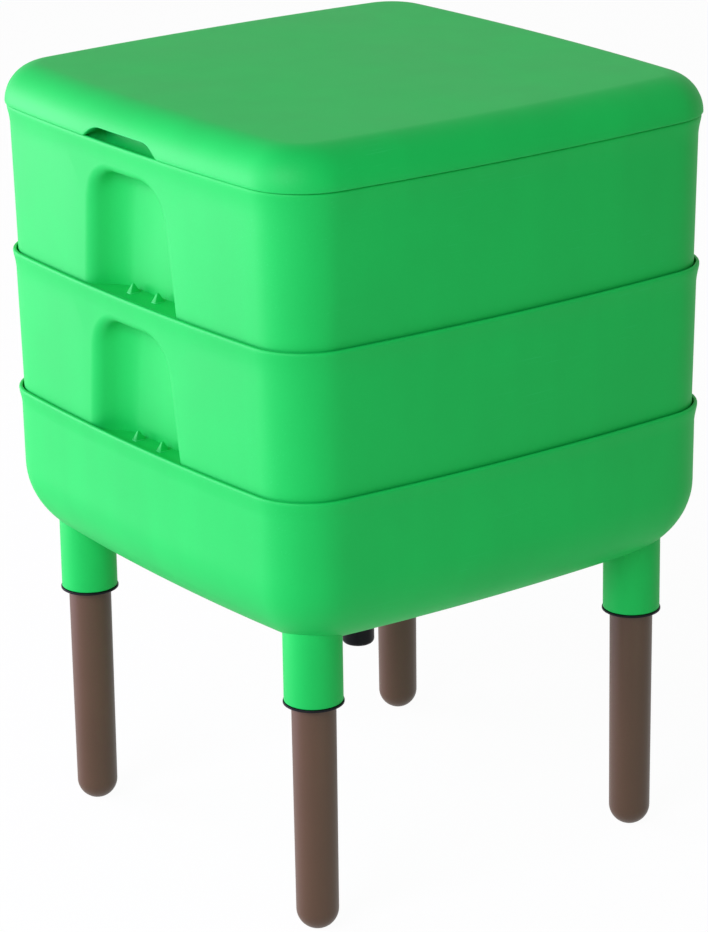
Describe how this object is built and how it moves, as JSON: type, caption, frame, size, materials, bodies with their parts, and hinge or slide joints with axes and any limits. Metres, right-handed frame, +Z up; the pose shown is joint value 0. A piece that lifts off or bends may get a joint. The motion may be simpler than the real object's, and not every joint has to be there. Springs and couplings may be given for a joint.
{
  "type": "stacking wormery",
  "caption": "Stacking wormery: domed lid, nesting perforated trays with hand recesses, and a round-bottomed collector base on tall round legs, with a drain tap underneath.",
  "frame": {"origin": "on the floor under the middle of the collector base", "axes": "+Z up, -Y towards the front, which has hand recesses and a lid notch like the back's, +X right"},
  "size_m": [0.382, 0.3802, 0.5559],
  "materials": {
    "green_plastic": "satin moulded plastic",
    "brown_plastic": "matte moulded plastic",
    "black_plastic": "matte moulded plastic",
    "black_rubber": "matte rubber",
    "steel": "plain stainless steel"
  },
  "bodies": {
    "base": {"collector_base": "green_plastic", "drain_strainer": "green_plastic", "tap_gasket": "black_rubber", "tap_body": "black_plastic", "tap_washer": "black_rubber", "tap_lock_nut": "black_plastic", "tap_o_ring": "black_rubber", "tap_screw": "steel", "leg_front_left": "brown_plastic", "collar_front_left": "black_plastic", "leg_front_right": "brown_plastic", "collar_front_right": "black_plastic", "leg_back_left": "brown_plastic", "collar_back_left": "black_plastic", "leg_back_right": "brown_plastic", "collar_back_right": "black_plastic"},
    "tap_knob": {"tap_knob": "black_plastic"},
    "lower_tray": {"lower_tray": "green_plastic"},
    "upper_tray": {"upper_tray": "green_plastic"},
    "lid": {"lid": "green_plastic"}
  },
  "joints": [
    {"name": "lower_tray_lift", "type": "slide", "parent": "base", "child": "lower_tray", "axis": [0, 0, 1], "range_m": [0, 0.15]},
    {"name": "upper_tray_lift", "type": "slide", "parent": "lower_tray", "child": "upper_tray", "axis": [0, 0, 1], "range_m": [0, 0.15]},
    {"name": "lid_lift", "type": "slide", "parent": "upper_tray", "child": "lid", "axis": [0, 0, 1], "range_m": [0, 0.12]},
    {"name": "tap_turn", "type": "hinge", "parent": "base", "child": "tap_knob", "pos_m": [0, 0, 0.17], "axis": [0, 0, 1], "range_deg": [0, 90]}
  ]
}
